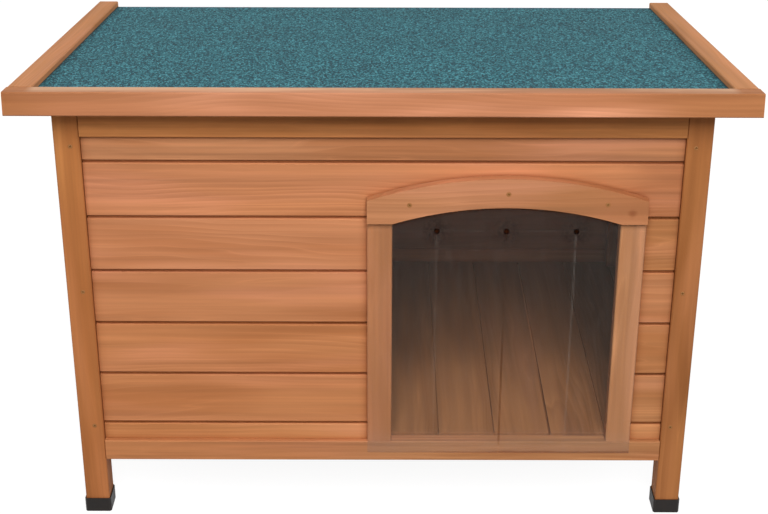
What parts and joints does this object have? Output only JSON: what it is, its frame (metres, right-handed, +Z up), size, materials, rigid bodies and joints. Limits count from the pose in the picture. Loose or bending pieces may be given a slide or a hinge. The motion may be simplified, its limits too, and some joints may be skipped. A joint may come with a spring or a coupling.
{
  "type": "dog house",
  "caption": "Flat-roofed wooden dog house on feet, with a lift-up felted roof on stays, an arched off-centre doorway and a clear strip curtain.",
  "frame": {"origin": "on the ground, under the middle of the roof's outline", "axes": "+X to the right along the front, +Y to the rear, +Z up; the doorway faces -Y"},
  "size_m": [0.85, 0.5994, 0.5799],
  "materials": {
    "softwood": "honey-brown stained pine or fir, satin",
    "post_softwood": "honey-brown stained softwood, a little more orange",
    "roofing_felt": "bitumen felt with blue-green mineral granules, matt and rough",
    "foot_plastic": "black moulded plastic, matt",
    "zinc_plate": "bright zinc-plated pressed steel",
    "clear_pvc": "clear flexible PVC sheet, glossy, a little hazy"
  },
  "bodies": {
    "house": {"front_left_post": "post_softwood", "front_right_post": "post_softwood", "rear_left_post": "post_softwood", "rear_right_post": "post_softwood", "front_left_foot": "foot_plastic", "front_right_foot": "foot_plastic", "rear_left_foot": "foot_plastic", "rear_right_foot": "foot_plastic", "front_bottom_rail": "softwood", "front_top_rail": "softwood", "rear_bottom_rail": "softwood", "rear_top_rail": "softwood", "left_bottom_rail": "softwood", "left_top_rail": "softwood", "right_bottom_rail": "softwood", "right_top_rail": "softwood", "front_upper_board_2": "softwood", "front_upper_board_1": "softwood", "front_left_board_5": "softwood", "front_right_board_5": "softwood", "front_left_board_4": "softwood", "front_right_board_4": "softwood", "front_left_board_3": "softwood", "front_right_board_3": "softwood", "front_left_board_2": "softwood", "front_right_board_2": "softwood", "front_left_board_1": "softwood", "front_right_board_1": "softwood", "rear_cladding": "softwood", "left_cladding": "softwood", "right_cladding": "softwood", "door_left_jamb": "softwood", "door_right_jamb": "softwood", "door_arch": "softwood", "curtain_header": "clear_pvc", "floor_panel": "softwood", "floor_front_ledger": "softwood", "floor_rear_ledger": "softwood", "floor_middle_joist": "softwood", "left_hinge_wall_leaf": "zinc_plate", "right_hinge_wall_leaf": "zinc_plate", "left_hinge_pin": "zinc_plate", "right_hinge_pin": "zinc_plate", "left_stay_wall_pin": "zinc_plate", "right_stay_wall_pin": "zinc_plate"},
    "roof": {"roof_front_batten": "softwood", "roof_left_batten": "softwood", "roof_right_batten": "softwood", "roof_deck": "softwood", "roof_felt": "roofing_felt", "left_hinge_roof_leaf": "zinc_plate", "right_hinge_roof_leaf": "zinc_plate", "left_stay_bracket": "zinc_plate", "right_stay_bracket": "zinc_plate"},
    "left_stay": {"left_stay_arm": "zinc_plate"},
    "right_stay": {"right_stay_arm": "zinc_plate"},
    "strip_1": {"curtain_strip_1": "clear_pvc"},
    "strip_2": {"curtain_strip_2": "clear_pvc"},
    "strip_3": {"curtain_strip_3": "clear_pvc"},
    "strip_4": {"curtain_strip_4": "clear_pvc"}
  },
  "joints": [
    {"name": "roof_hinge", "type": "hinge", "parent": "house", "child": "roof", "pos_m": [0, 0.27778, 0.49189], "axis": [-1, 0, 0], "range_deg": [0, 65]},
    {"name": "left_stay_swing", "type": "hinge", "parent": "roof", "child": "left_stay", "pos_m": [-0.358, 0.0779, 0.49887], "axis": [-1, 0, 0], "range_deg": [-33, 0]},
    {"name": "right_stay_swing", "type": "hinge", "parent": "roof", "child": "right_stay", "pos_m": [0.358, 0.0779, 0.49887], "axis": [-1, 0, 0], "range_deg": [-33, 0]},
    {"name": "strip_1_swing", "type": "hinge", "parent": "house", "child": "strip_1", "pos_m": [0.0221, -0.26303, 0.39659], "axis": [-1, 0, 0], "range_deg": [0, 80]},
    {"name": "strip_2_swing", "type": "hinge", "parent": "house", "child": "strip_2", "pos_m": [0.10475, -0.26303, 0.39659], "axis": [-1, 0, 0], "range_deg": [0, 80]},
    {"name": "strip_3_swing", "type": "hinge", "parent": "house", "child": "strip_3", "pos_m": [0.18725, -0.26303, 0.39659], "axis": [-1, 0, 0], "range_deg": [0, 80]},
    {"name": "strip_4_swing", "type": "hinge", "parent": "house", "child": "strip_4", "pos_m": [0.2699, -0.26303, 0.39659], "axis": [-1, 0, 0], "range_deg": [0, 80]}
  ],
  "couplings": [
    {"joint": "left_stay_swing", "follows": "roof_hinge", "ratio": -0.5},
    {"joint": "right_stay_swing", "follows": "roof_hinge", "ratio": -0.5}
  ]
}
